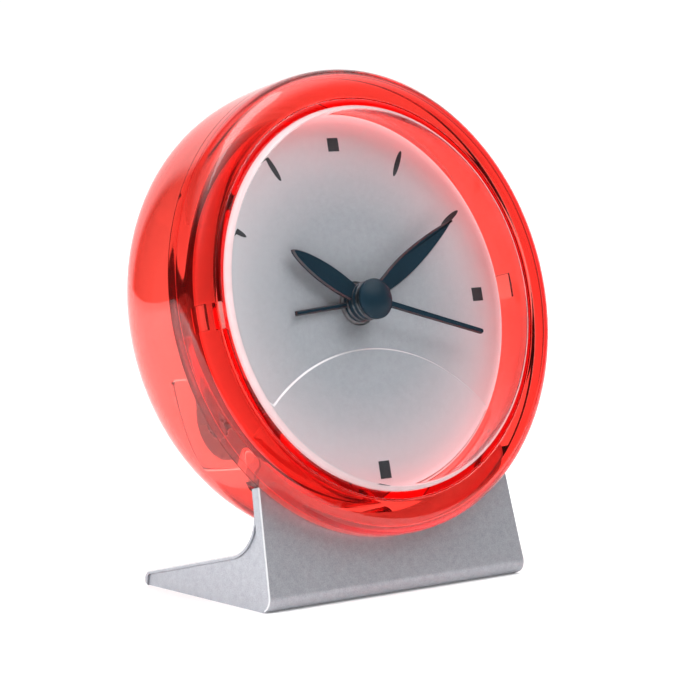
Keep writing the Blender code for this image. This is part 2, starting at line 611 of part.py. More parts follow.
def make_movement():
    # front plate: bush through the dial, battery end walls below
    outline = [(-22.0, -24.0), (22.0, -24.0), (28.1, -17.2), (28.1, -10.5), (21.0, -9.0), (21.0, 22.5),
               (-21.0, 22.5), (-21.0, -9.0), (-28.1, -10.5), (-28.1, -17.2)]
    plate = add("movement_front_plate", prism(outline, *LV_FRONT_PLATE), "silver")
    extra = disc(BUSH[1], BUSH_D, LV_FRONT_PLATE[1] - 0.2, 20)
    for side in (-1, 1):
        x0, x1 = sorted((side * 26.9, side * 28.1))
        block(x0, x1, -17.2, -10.5, LV_FRONT_PLATE[0] + 0.3, 20.0, extra)
    join(plate, tool("front_plate_parts", extra))
    holes = disc(BUSH[0], 4, 14, 20)
    for xy in (WORKS_XY, ALARM_SET_XY):
        disc(1.25, 7, 14, SEG_S, xy, holes)
    for xy in MOVEMENT_SCREWS:
        disc(1.0, 7, 14, 12, xy, holes)
    cut(plate, tool("front_plate_holes", holes))

    # housing: a box, open towards the plate
    housing = add("movement_housing", block(-HOUSING_X, HOUSING_X, HOUSING_Y0, HOUSING_Y1, HOUSING_D0, HOUSING_D1),
                  "black")
    room = block(-HOUSING_X + HOUSING_WALL, HOUSING_X - HOUSING_WALL, HOUSING_Y0 + HOUSING_FLOOR,
                 HOUSING_Y1 - HOUSING_WALL, 5, HOUSING_D1 - HOUSING_WALL)
    cut(housing, tool("housing_room", room))
    holes = bmesh.new()
    for xy in (WORKS_XY, ALARM_SET_XY):
        disc(1.3, 19, 24, SEG_S, xy, holes)
    for xy in MOVEMENT_SCREWS:
        disc(1.0, 19, 24, 12, xy, holes)
    cut(housing, tool("housing_holes", holes))

    middle = add("middle_plate", block(-19.5, 19.5, HOUSING_Y0 + HOUSING_FLOOR + 0.3, HOUSING_Y1 - HOUSING_WALL - 0.3,
                                       *LV_MIDDLE_PLATE), "black")
    holes = disc(1.5, 11, 16, SEG_S)
    for xy, r in ((WORKS_XY, 1.3), (ALARM_SET_XY, 1.3), (THIRD_XY, 0.65), (FIFTH_XY, 0.55), (ROTOR_XY, 0.55),
                  (MOVEMENT_SCREWS[0], 1.1), (MOVEMENT_SCREWS[1], 1.1)):
        disc(r, 11, 16, 12, xy, holes)
    cut(middle, tool("middle_plate_holes", holes))

    # stepper motor
    rx, ry = ROTOR_XY
    stator = add("stator", prism([(10.6, -5.6), (17.4, -5.6), (17.4, 15.2), (14.6, 15.2), (14.6, 2.4), (10.6, 2.4)],
                                 18.4, 19.4), "steel")
    cut(stator, tool("stator_hole", disc(2.4, 16, 22, 20, (rx, ry))))
    coil = add("coil", prism([(13.4, 4.6), (18.6, 4.6), (18.6, 13.6), (13.4, 13.6)], 16.8, 20.3), "copper")
    cut(coil, tool("coil_core", block(14.3, 17.7, 2, 17, 18.1, 19.7)))

    add("circuit_board", block(-14.0, 8.0, 11.0, 20.8, 17.8, 18.8), "board")
    add("driver_chip", block(-11.0, -6.0, 14.0, 18.0, 16.5, 17.5), "black")
    crystal = disc(1.0, 0, 6.0, SEG_S)
    bmesh.ops.rotate(crystal, verts=crystal.verts, cent=(0, 0, 0), matrix=Matrix.Rotation(math.pi / 2, 3, 'Y'))
    bmesh.ops.translate(crystal, verts=crystal.verts, vec=(5.5, 18.0, -16.4))
    add("quartz_crystal", crystal, "steel")
    x, y = BUZZER_XY
    add("buzzer", disc(BUZZER_R, 22.1, 24.6, SEG_M, (x, y)), "black")

    # alarm switch: thumb piece through the back, foot behind the wall
    x, y = SWITCH_XY
    switch = add("alarm_switch", block(-1.7, 1.7, -1.2, 1.2, 24.6, 29.0), "black", location=(x, y, 0))
    join(switch, tool("switch_foot", block(-3.5, 3.5, -2.3, 2.3, 24.0, 25.2), location=(x, y, 0)))

    # battery
    half = CELL_L / 2
    cell = turned([(0, -half), (CELL_R - 0.5, -half), (CELL_R, -half + 0.5), (CELL_R, half - 1.5),
                   (CELL_R - 0.5, half - 1.0), (2.75, half - 1.0), (2.75, half), (0, half)], SEG_M)
    bmesh.ops.rotate(cell, verts=cell.verts, cent=(0, 0, 0), matrix=Matrix.Rotation(-math.pi / 2, 3, 'Y'))
    bmesh.ops.translate(cell, verts=cell.verts, vec=(0, CELL_Y, -CELL_D))
    add("battery_cell", cell, "cell")
    add("battery_plate", block(half + 0.35, half + 0.75, CELL_Y - 4, CELL_Y + 4, 13.0, 19.5), "steel")
    # negative contact: a flat coil spring against the cell's end
    curve = bpy.data.curves.new("battery_spring", 'CURVE')
    curve.dimensions = '3D'
    curve.bevel_depth = 0.22 * MM
    curve.bevel_resolution = 1
    curve.use_fill_caps = True
    turns, per = 2.5, 12
    count = int(turns * per) + 1
    spline = curve.splines.new('POLY')
    spline.points.add(count - 1)
    for i in range(count):
        q = i / (count - 1)
        a = 2 * math.pi * turns * q
        r = 4.2 - 2.4 * q
        spline.points[i].co = ((-half - 1.35 + 0.85 * q) * MM, (CELL_Y + r * math.cos(a)) * MM,
                               (-16.5 + r * math.sin(a)) * MM, 1)
    ob = bpy.data.objects.new("battery_spring", curve)
    ob.parent = HEAD
    COLL.objects.link(ob)
    curve.materials.append(material("battery_spring", *FINISH["steel"]))


def make_screws():
    x, y = SCREW_XY
    s = SCREW_SEAT_D
    profile = [(0, 7.5), (0.4, 7.5), (SCREW_SHANK, 8.0), (SCREW_SHANK, s + 0.3), (SCREW_HEAD, s + 0.3),
               (SCREW_HEAD, s + 1.0), (1.0, s + 1.4), (0, s + 1.4)]
    ob = add("case_screw", turned(profile, SEG_S), "steel", location=(x, y, 0))
    cut(ob, tool("case_slot", block(-0.75, 0.75, -0.18, 0.18, s + 0.9, 30), location=(x, y, 0)))
    for i, (x, y) in enumerate(MOVEMENT_SCREWS):
        profile = [(0, 9.0), (0.75, 9.0), (0.75, 22.1), (1.6, 22.1), (1.6, 22.8), (1.1, 23.2), (0, 23.2)]
        add("movement_screw_%d" % (i + 1), turned(profile, 12), "steel", location=(x, y, 0))


make_case()
make_front()
make_stand()
make_hands()
make_motion_work()
make_train()
make_movement()
make_screws()
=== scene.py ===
"""Looks for a round desk alarm clock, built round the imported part."""
import math

import bmesh
import bpy
from mathutils import Matrix, Vector


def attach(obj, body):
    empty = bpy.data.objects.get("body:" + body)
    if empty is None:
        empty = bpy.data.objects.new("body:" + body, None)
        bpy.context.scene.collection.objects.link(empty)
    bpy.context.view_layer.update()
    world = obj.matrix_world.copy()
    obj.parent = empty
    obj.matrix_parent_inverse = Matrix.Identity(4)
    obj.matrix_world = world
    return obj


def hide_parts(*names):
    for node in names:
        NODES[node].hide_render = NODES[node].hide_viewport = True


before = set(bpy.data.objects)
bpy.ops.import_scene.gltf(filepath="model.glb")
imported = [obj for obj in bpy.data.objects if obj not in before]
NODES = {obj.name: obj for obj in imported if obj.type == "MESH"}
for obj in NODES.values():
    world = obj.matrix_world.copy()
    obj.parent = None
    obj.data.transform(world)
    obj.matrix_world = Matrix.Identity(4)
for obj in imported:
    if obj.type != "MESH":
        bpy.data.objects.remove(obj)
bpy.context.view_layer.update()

COLL = bpy.context.scene.collection

# ------------------------------------------------------------------ dimensions (mm)
MM = 0.001
TILT, HEAD_Y, HEAD_Z = 14.196, -12.876, 51.708
T = math.radians(TILT)
HEAD = Matrix.Translation((0, HEAD_Y * MM, HEAD_Z * MM)) @ Matrix.Rotation(math.radians(90 - TILT), 4, 'X')

BODY_R, SEAM_D, WALL = 41.29, 6.4, 1.3
REAR_LEN, BACK_D, CASE_POW = 22.985, 27.8, 4.0
BEZEL_FRONT_D, BEZEL_CREST_R, BEZEL_BORE_R, BEZEL_WALL = 0.815, 36.1, 35.5, 1.3
LENS_R, LENS_FRONT_D, LENS_BACK_D, LENS_EDGE = 34.05, -0.6, 0.88, 1.1
RING_R0, RING_R1, RING_D0, RING_D1 = 33.9, 35.45, 0.9, 12.4
DIAL_R, DIAL_D0, DIAL_D1, DIAL_HOLE_R = 33.8, 7.7, 8.5, 3.9
SKIRT_R, SKIRT_D, SCARF = 33.2, 13.4, 1.2
HILL_R, HILL_TOP, HILL_RISE = 34.0, -8.0, 0.35
STAND_W, STAND_TAPER = 59.5, 0.072
PLATE_D0, PLATE_D1, PLATE_TOP, TONGUE_R = 6.9, 9.0, -25.0, 37.0
FRONT_FILLET, INNER_FILLET = 2.4, 7.0
BASE_TOP_Y, BASE_TOP_Z, BASE_SLOPE, BASE_BACK_Y, SADDLE_GAP = 5.29, 8.65, -0.258, 29.85, 0.6
LV_ALARM_HAND, LV_HOUR_HAND = (6.55, 7.15), (5.2, 5.9)
LV_MINUTE_HAND, LV_SECOND_HAND = (4.1, 4.8), (2.7, 3.4)
ALARM_L, HOUR_L, MINUTE_L, SECOND_L = 14.8, 17.6, 25.7, 25.2
ALARM_A, HOUR_A, MINUTE_A, SECOND_A = 266.0, 304.0, 59.0, 107.0
CAP_R, CAP_D = 3.6, 1.5
SCREW_XY, SCREW_SEAT_D = (0.0, -38.2), 19.0
KNOB_HOLE_R = 4.3
SWITCH_XY, BUZZER_XY = (15.5, 15.0), (0.0, 15.5)
DOOR_X, DOOR_Y0, DOOR_Y1, DOOR_GAP = 27.5, -24.9, -8.7, 0.3
SEG = 256


def polar(radius, degrees):
    a = math.radians(degrees)
    return radius * math.cos(a), radius * math.sin(a)


WORKS_XY, ALARM_SET_XY = polar(9.6, 30.0), polar(9.6, 150.0)


# ------------------------------------------------------------------ mesh helpers
def lathe(profile, seg=SEG, bm=None, centre=(0.0, 0.0), second=()):
    """Spin a closed outline of (radius, depth) about the head's axis."""
    bm = bm or bmesh.new()
    rings = []
    for r, d in profile:
        if r <= 1e-9:
            rings.append([bm.verts.new((centre[0], centre[1], -d))])
        else:
            rings.append([bm.verts.new((centre[0] + r * math.cos(2 * math.pi * j / seg),
                                        centre[1] + r * math.sin(2 * math.pi * j / seg), -d)) for j in range(seg)])
    n = len(rings)
    for i in range(n):
        a, b = rings[i], rings[(i + 1) % n]
        if len(a) == 1 and len(b) == 1:
            continue
        for j in range(seg):
            k = (j + 1) % seg
            if len(a) == 1:
                bm.faces.new((a[0], b[j], b[k]))
            elif len(b) == 1:
                bm.faces.new((a[j], b[0], a[k]))
            else:
                bm.faces.new((a[j], b[j], b[k], a[k])).material_index = 1 if i in second else 0
    return bm


def fillet(corners, n=6):
    """Outline with rounded corners; a corner is (x, y) or (x, y, radius)."""
    out = []
    m = len(corners)
    for i in range(m):
        c = corners[i]
        p = Vector(c[:2])
        rad = c[2] if len(c) > 2 else 0.0
        if rad <= 0:
            out.append((p.x, p.y))
            continue
        a, b = Vector(corners[i - 1][:2]) - p, Vector(corners[(i + 1) % m][:2]) - p
        la, lb = a.length, b.length
        a, b = a / la, b / lb
        half = math.acos(max(-1, min(1, a.dot(b)))) / 2
        t = min(rad / math.tan(half), 0.49 * la, 0.49 * lb)
        rad = t * math.tan(half)
        centre = p + (a + b).normalized() * (rad / math.sin(half))
        va, vb = p + a * t - centre, p + b * t - centre
        sweep = math.pi - 2 * half
        sgn = 1 if va.x * vb.y - va.y * vb.x > 0 else -1
        for k in range(n + 1):
            q = sgn * sweep * k / n
            out.append((centre.x + va.x * math.cos(q) - va.y * math.sin(q),
                        centre.y + va.x * math.sin(q) + va.y * math.cos(q)))
    return out


def loft(loops, bm=None, cap_first=True, cap_last=True, second=()):
    """Skin a list of loops of (x, y, z) with equal counts; bands in second take the second material."""
    bm = bm or bmesh.new()
    rows = [[bm.verts.new(p) for p in loop] for loop in loops]
    n = len(rows[0])
    for i, (a, b) in enumerate(zip(rows[:-1], rows[1:])):
        for j in range(n):
            k = (j + 1) % n
            bm.faces.new((a[j], a[k], b[k], b[j])).material_index = 1 if i in second else 0
    if cap_first:
        bm.faces.new(rows[0][::-1])
    if cap_last:
        bm.faces.new(rows[-1])
    return bm


def prism(outline, d0, d1, bm=None):
    return loft([[(x, y, -d1) for x, y in outline], [(x, y, -d0) for x, y in outline]], bm)


def block(x0, x1, y0, y1, d0, d1, bm=None):
    return prism([(x0, y0), (x1, y0), (x1, y1), (x0, y1)], d0, d1, bm)


def disc(r, d0, d1, seg=32, centre=(0, 0), bm=None):
    return prism([(centre[0] + r * math.cos(2 * math.pi * i / seg), centre[1] + r * math.sin(2 * math.pi * i / seg))
                  for i in range(seg)], d0, d1, bm)


def superellipse(r0, r1, d0, d1, power, count):
    pts = []
    for i in range(count + 1):
        a = math.pi / 2 * i / count
        c, s = max(math.cos(a), 0.0), max(math.sin(a), 0.0)
        pts.append((r0 + (r1 - r0) * c ** (2 / power), d0 + (d1 - d0) * s ** (2 / power)))
    return pts


def case_profile(offset, count=64, last=58.2):
    pts = []
    for i in range(count + 1):
        q = i / count
        a = math.radians(0.05 + (last - 0.05) * (0.35 * q + 0.65 * q * q))
        c, s = math.cos(a), math.sin(a)
        r = BODY_R * c ** (2 / CASE_POW)
        d = SEAM_D + REAR_LEN * s ** (2 / CASE_POW)
        nr = (r / BODY_R) ** (CASE_POW - 1) / BODY_R
        nd = ((d - SEAM_D) / REAR_LEN) ** (CASE_POW - 1) / REAR_LEN
        k = math.hypot(nr, nd)
        pts.append((r - offset * nr / k, d - offset * nd / k))
    return pts


def mesh_of(name, bm, space='head'):
    bmesh.ops.scale(bm, vec=(MM, MM, MM), verts=bm.verts)
    bmesh.ops.recalc_face_normals(bm, faces=bm.faces)
    if space == 'head':
        bm.transform(HEAD)
    me = bpy.data.meshes.new(name)
    bm.to_mesh(me)
    bm.free()
    return me


def new_object(name, bm, space='head'):
    ob = bpy.data.objects.new(name, mesh_of(name, bm, space))
    COLL.objects.link(ob)
    return ob


def boolean(ob, bm, operation='DIFFERENCE', space='head'):
    cutter = new_object("cutter", bm, space)
    mod = ob.modifiers.new("b", 'BOOLEAN')
    mod.operation, mod.object, mod.solver = operation, cutter, 'EXACT'
    dg = bpy.context.evaluated_depsgraph_get()
    me = bpy.data.meshes.new_from_object(ob.evaluated_get(dg))
    old = ob.data
    ob.modifiers.clear()
    ob.data = me
    bpy.data.meshes.remove(old)
    data = cutter.data
    bpy.data.objects.remove(cutter)
    bpy.data.meshes.remove(data)
    return ob


def dress(ob, mat, body, nodes=(), sharp=38):
    """Material, shading and the body that a piece rides on."""
    mats = mat if isinstance(mat, tuple) else (mat,)
    if len(ob.data.materials) != len(mats):
        index = [f.material_index for f in ob.data.polygons]
        ob.data.materials.clear()
        for m in mats:
            ob.data.materials.append(m)
        ob.data.polygons.foreach_set("material_index", index)
    ob.data.shade_smooth()
    ob.data.set_sharp_from_angle(angle=math.radians(sharp))
    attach(ob, body)
    if nodes:
        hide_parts(*nodes)
    return ob


# ------------------------------------------------------------------ materials
class Mat:
    def __init__(self, name):
        self.mat = bpy.data.materials.new(name)
        self.mat.use_nodes = True
        self.t = self.mat.node_tree
        self.t.nodes.clear()
        self.out = self.t.nodes.new("ShaderNodeOutputMaterial")
        self.bsdf = self.t.nodes.new("ShaderNodeBsdfPrincipled")
        self.link(self.bsdf, "BSDF", self.out, "Surface")
        self.coord = self.t.nodes.new("ShaderNodeTexCoord")

    def link(self, a, x, b, y):
        self.t.links.new(a.outputs[x], b.inputs[y])

    def set(self, **values):
        for key, value in values.items():
            self.bsdf.inputs[key.replace("_", " ")].default_value = value
        return self

    def noise(self, scale, detail=3.0, rough=0.55, stretch=None):
        n = self.t.nodes.new("ShaderNodeTexNoise")
        n.inputs["Scale"].default_value = scale
        n.inputs["Detail"].default_value = detail
        n.inputs["Roughness"].default_value = rough
        if stretch:
            m = self.t.nodes.new("ShaderNodeMapping")
            m.inputs["Scale"].default_value = stretch
            self.link(self.coord, "Object", m, "Vector")
            self.link(m, "Vector", n, "Vector")
        else:
            self.link(self.coord, "Object", n, "Vector")
        return n

    def ramp(self, source, socket, stops):
        r = self.t.nodes.new("ShaderNodeValToRGB")
        e = r.color_ramp.elements
        while len(e) < len(stops):
            e.new(0.5)
        for el, (pos, col) in zip(e, stops):
            el.position = pos
            el.color = (*col, 1.0) if len(col) == 3 else col
        self.link(source, socket, r, "Fac")
        return r

    def spread(self, source, socket, lo, hi, a=0.3, b=0.7):
        m = self.t.nodes.new("ShaderNodeMapRange")
        m.inputs["From Min"].default_value, m.inputs["From Max"].default_value = a, b
        m.inputs["To Min"].default_value, m.inputs["To Max"].default_value = lo, hi
        self.link(source, socket, m, "Value")
        return m

    def bump(self, source, socket, strength, distance, previous=None):
        b = self.t.nodes.new("ShaderNodeBump")
        b.inputs["Strength"].default_value = strength
        b.inputs["Distance"].default_value = distance
        self.link(source, socket, b, "Height")
        if previous:
            self.link(previous, "Normal", b, "Normal")
        return b


def clear_red(name, tint, absorb, density, rough=(0.015, 0.05), wave=0.02):
    """Transparent dyed plastic, glossy, with faint flow ripples."""
    m = Mat(name)
    m.set(Base_Color=(*tint, 1), Transmission_Weight=1.0, IOR=1.5)
    slow = m.noise(55, 2.0)
    fine = m.noise(900, 2.0)
    m.link(m.spread(fine, "Fac", *rough), "Result", m.bsdf, "Roughness")
    b = m.bump(slow, "Fac", wave, 0.001)
    m.link(b, "Normal", m.bsdf, "Normal")
    v = m.t.nodes.new("ShaderNodeVolumeAbsorption")
    v.inputs["Color"].default_value = (*absorb, 1)
    v.inputs["Density"].default_value = density
    m.link(v, "Volume", m.out, "Volume")
    return m.mat


def moulded(name, dark, light, rough=(0.35, 0.5), grain=1800, bump=0.15, metallic=0.0, specular=0.5):
    """Opaque plastic with a fine grain."""
    m = Mat(name)
    m.set(Metallic=metallic, Specular_IOR_Level=specular)
    fine, slow = m.noise(grain, 3.0), m.noise(120, 2.0)
    m.link(m.ramp(slow, "Fac", [(0.35, dark), (0.65, light)]), "Color", m.bsdf, "Base Color")
    m.link(m.spread(fine, "Fac", *rough), "Result", m.bsdf, "Roughness")
    m.link(m.bump(fine, "Fac", bump, 0.0002), "Normal", m.bsdf, "Normal")
    return m.mat


def metal(name, dark, light, rough=(0.2, 0.35), grain=900, bump=0.1):
    return moulded(name, dark, light, rough, grain, bump, metallic=1.0)


RED = clear_red("red_plastic", (1.0, 0.70, 0.66), (0.985, 0.28, 0.20), 880)
BEZEL_RED = clear_red("bezel_red", (1.0, 0.70, 0.66), (0.985, 0.26, 0.20), 1200)
RING_RED = clear_red("ring_red", (1.0, 0.70, 0.66), (0.985, 0.28, 0.20), 900)


def lens_material():
    m = Mat("clear_lens")
    m.set(Base_Color=(0.985, 0.99, 0.995, 1), Transmission_Weight=1.0, IOR=1.49)
    fine = m.noise(700, 2.0)
    m.link(m.spread(fine, "Fac", 0.004, 0.02), "Result", m.bsdf, "Roughness")
    m.link(m.bump(m.noise(45, 1.0), "Fac", 0.01, 0.0005), "Normal", m.bsdf, "Normal")
    return m.mat


def frosted(name, dark, light):
    """Ground clear edge, partly see-through; its pale pink colour is painted light, standing in for red light carried
    along the lens edge.
    """
    m = Mat(name)
    m.set(IOR=1.49, Transmission_Weight=0.22)
    fine = m.noise(2600, 2.0)
    m.link(m.ramp(m.noise(500, 2.0), "Fac", [(0.3, dark), (0.7, light)]), "Color", m.bsdf, "Base Color")
    m.link(m.spread(fine, "Fac", 0.3, 0.4), "Result", m.bsdf, "Roughness")
    m.link(m.bump(fine, "Fac", 0.02, 0.00002), "Normal", m.bsdf, "Normal")
    return m.mat


def satin_silver(name, dark, light, rough, metallic, grain=5200, bump=0.25, painted_rim_light=False, tongue=False):
    """Fine satin metallic finish with a sparkle grain. The rim option paints light onto the outer rim: a paler, pinker
    edge and a faint glow.
    """
    m = Mat(name)
    m.set(Metallic=metallic, IOR=1.5)
    fine = m.noise(grain, 2.0, 0.6)
    mid = m.noise(900, 3.0)
    mix = m.t.nodes.new("ShaderNodeMath")
    mix.operation = 'MULTIPLY_ADD'
    mix.inputs[1].default_value = 0.7
    m.link(fine, "Fac", mix, 0)
    m.link(m.spread(mid, "Fac", 0.08, 0.22), "Result", mix, 2)
    colour = m.ramp(mix, "Value", [(0.30, dark), (0.70, light)])
    if painted_rim_light:
        # painted light: the outer rim is painted paler, pinker toward +X, with a faint emission at the very edge, in
        # place of light coming through the red ring
        sep = m.t.nodes.new("ShaderNodeSeparateXYZ")
        m.link(m.coord, "Object", sep, "Vector")
        flat = m.t.nodes.new("ShaderNodeCombineXYZ")
        m.link(sep, "X", flat, "X")
        m.link(sep, "Y", flat, "Y")
        length = m.t.nodes.new("ShaderNodeVectorMath")
        length.operation = 'LENGTH'
        m.link(flat, "Vector", length, 0)
        rim = m.spread(length, "Value", 0.0, 1.0, 0.008, 0.0338)
        pale = m.t.nodes.new("ShaderNodeMix")
        pale.data_type = 'RGBA'
        amount = m.ramp(rim, "Result", [(0.0, (0, 0, 0)), (0.3, (0.02, 0.02, 0.02)), (0.55, (0.19, 0.19, 0.19)), (0.8, (0.5, 0.5, 0.5)), (0.93, (0.82, 0.82, 0.82)), (1.0, (1, 1, 1))])
        m.link(amount, "Color", pale, 0)
        m.link(colour, "Color", pale, 6)
        painted_pink_light = m.ramp(m.spread(sep, "X", 0.0, 1.0, -0.026, -0.004), "Result", [(0.0, (0.86, 0.86, 0.89)), (1.0, (1.0, 0.80, 0.83))])
        m.link(painted_pink_light, "Color", pale, 7)
        m.t.links.new(pale.outputs[2], m.bsdf.inputs["Base Color"])
        painted_rim_emission = m.ramp(rim, "Result", [(0.0, (0, 0, 0)), (0.93, (0, 0, 0)), (0.97, (0.12, 0.12, 0.12)), (1.0, (0.42, 0.42, 0.42))])
        m.set(Emission_Color=(1.0, 0.86, 0.87, 1.0))
        m.link(painted_rim_emission, "Color", m.bsdf, "Emission Strength")
    elif tongue:
        # the part held inside the case is paler than the rest
        up = m.t.nodes.new("ShaderNodeVectorMath")
        up.operation = 'DOT_PRODUCT'
        up.inputs[1].default_value = (0.0, math.sin(T), math.cos(T))
        m.link(m.coord, "Object", up, 0)
        sep = m.t.nodes.new("ShaderNodeSeparateXYZ")
        m.link(m.coord, "Object", sep, "Vector")
        flat = m.t.nodes.new("ShaderNodeCombineXYZ")
        m.link(sep, "X", flat, "X")
        low = (HEAD_Y * math.sin(T) + HEAD_Z * math.cos(T)) * MM
        m.link(m.spread(up, "Value", -0.06, 0.06, low - 0.06, low + 0.06), "Result", flat, "Y")
        m.link(m.spread(sep, "Y", 0.0, 0.06, -0.006, 0.002), "Result", flat, "Z")
        length = m.t.nodes.new("ShaderNodeVectorMath")
        length.operation = 'LENGTH'
        m.link(flat, "Vector", length, 0)
        pale = m.t.nodes.new("ShaderNodeMix")
        pale.data_type = 'RGBA'
        m.link(m.spread(length, "Value", 1.0, 0.0, 0.0405, 0.0408), "Result", pale, 0)
        m.link(colour, "Color", pale, 6)
        m.link(m.ramp(mid, "Fac", [(0.3, (0.80, 0.79, 0.79)), (0.7, (0.88, 0.87, 0.87))]), "Color", pale, 7)
        m.t.links.new(pale.outputs[2], m.bsdf.inputs["Base Color"])
    else:
        m.link(colour, "Color", m.bsdf, "Base Color")
    m.link(m.spread(fine, "Fac", *rough), "Result", m.bsdf, "Roughness")
    m.link(m.bump(fine, "Fac", bump, 0.00006), "Normal", m.bsdf, "Normal")
    return m.mat


STAND_SILVER = satin_silver("stand_silver", (0.27, 0.28, 0.31), (0.42, 0.43, 0.465), (0.34, 0.46), 0.45, tongue=True)
# dial: the paler, pinker rim and faint edge emission are painted light, not the dial's own finish
DIAL_SILVER = satin_silver("dial_silver", (0.324, 0.347, 0.379), (0.426, 0.453, 0.488), (0.42, 0.55), 0.30, 6000, 0.25, True)
HAND_DARK = moulded("hand_dark", (0.0065, 0.0220, 0.036), (0.0075, 0.0255, 0.041), (0.18, 0.26), 2500, 0.01, specular=0.13)
# lighter material for the stand's chamfers: a painted highlight along its edges
STAND_EDGE_HIGHLIGHT = satin_silver("stand_edge_highlight", (0.50, 0.505, 0.52), (0.57, 0.575, 0.59), (0.30, 0.40), 0.15, 5200, 0.1)
# brighter material for the dial field's chamfer: a painted highlight along the step
DIAL_EDGE_HIGHLIGHT = satin_silver("dial_edge_highlight", (0.70, 0.70, 0.72), (0.79, 0.79, 0.81), (0.30, 0.40), 0.25, 5200, 0.1)
HAND_EDGE = metal("hand_edge", (0.075, 0.085, 0.095), (0.10, 0.11, 0.12), (0.28, 0.36), 2500, 0.02)
MARK_INK = moulded("mark_ink", (0.016, 0.020, 0.027), (0.022, 0.027, 0.034), (0.4, 0.55), 2500, 0.1)
BLACK = moulded("black_plastic", (0.012, 0.012, 0.013), (0.02, 0.02, 0.021), (0.38, 0.52), 1500, 0.12)
WHITE = moulded("white_nylon", (0.66, 0.65, 0.61), (0.74, 0.73, 0.69), (0.4, 0.55), 1500, 0.08)
BRASS = metal("brass", (0.66, 0.47, 0.20), (0.74, 0.55, 0.25))
STEEL = metal("steel", (0.55, 0.55, 0.56), (0.66, 0.66, 0.67))
COPPER = metal("copper_wire", (0.50, 0.19, 0.08), (0.62, 0.26, 0.12))
BOARD = moulded("board_green", (0.03, 0.16, 0.06), (0.05, 0.23, 0.09), (0.4, 0.5), 800, 0.1)
MAGNET = moulded("magnet", (0.03, 0.03, 0.032), (0.05, 0.05, 0.052), (0.4, 0.6), 900, 0.1)
CELL = moulded("cell_wrap", (0.30, 0.31, 0.33), (0.36, 0.37, 0.39), (0.26, 0.36), 500, 0.03)
SKIRT_GREY = moulded("skirt_grey", (0.15, 0.15, 0.157), (0.21, 0.21, 0.217), (0.4, 0.55), 1500, 0.1)
GREY = moulded("grey_plastic", (0.24, 0.245, 0.26), (0.30, 0.305, 0.32), (0.4, 0.55), 1500, 0.1)
LENS = lens_material()
# the lens edge's pink colour is painted light; the frosting is the edge's own finish
LENS_RIM_PINK_LIGHT = frosted("lens_rim_painted_pink", (0.58, 0.43, 0.44), (0.62, 0.47, 0.48))


# ------------------------------------------------------------------ case
def offset_curve(points, amount):
    """Shift an open outline sideways along its own normals."""
    out = []
    n = len(points)
    for i in range(n):
        p, q = Vector(points[max(i - 1, 0)]), Vector(points[min(i + 1, n - 1)])
        t = (q - p).normalized()
        out.append((points[i][0] - t.y * amount, points[i][1] + t.x * amount))
    return out


def make_bezel():
    outer = superellipse(BEZEL_CREST_R, BODY_R, SEAM_D, BEZEL_FRONT_D, CASE_POW, 64)[::-1]
    inside = offset_curve(outer, BEZEL_WALL)
    inside = [q for q in inside if q[1] < SEAM_D - SCARF - 0.05] + [(inside[-1][0], SEAM_D - SCARF)]
    back = inside[0][1]
    edge = fillet([(BEZEL_CREST_R, back), (BEZEL_BORE_R, back, 0.15), (BEZEL_BORE_R, BEZEL_FRONT_D + 0.02, 0.2),
                   (BEZEL_CREST_R, BEZEL_FRONT_D)], 5)[1:-1]
    ob = new_object("bezel", lathe(edge + outer + inside[::-1]))
    return dress(ob, BEZEL_RED, "case", ["front_bezel"], 30)


def rear_outer():
    pts = case_profile(0.0)
    r = pts[-1][0]
    return pts, [(r - 1.0, BACK_D - 0.11), (r - 2.2, BACK_D - 0.03), (r - 4.0, BACK_D)]


def rear_inner():
    pts = case_profile(WALL)
    r = pts[-1][0]
    return pts, [(r - 1.2, BACK_D - WALL - 0.06), (r - 3.0, BACK_D - WALL)]


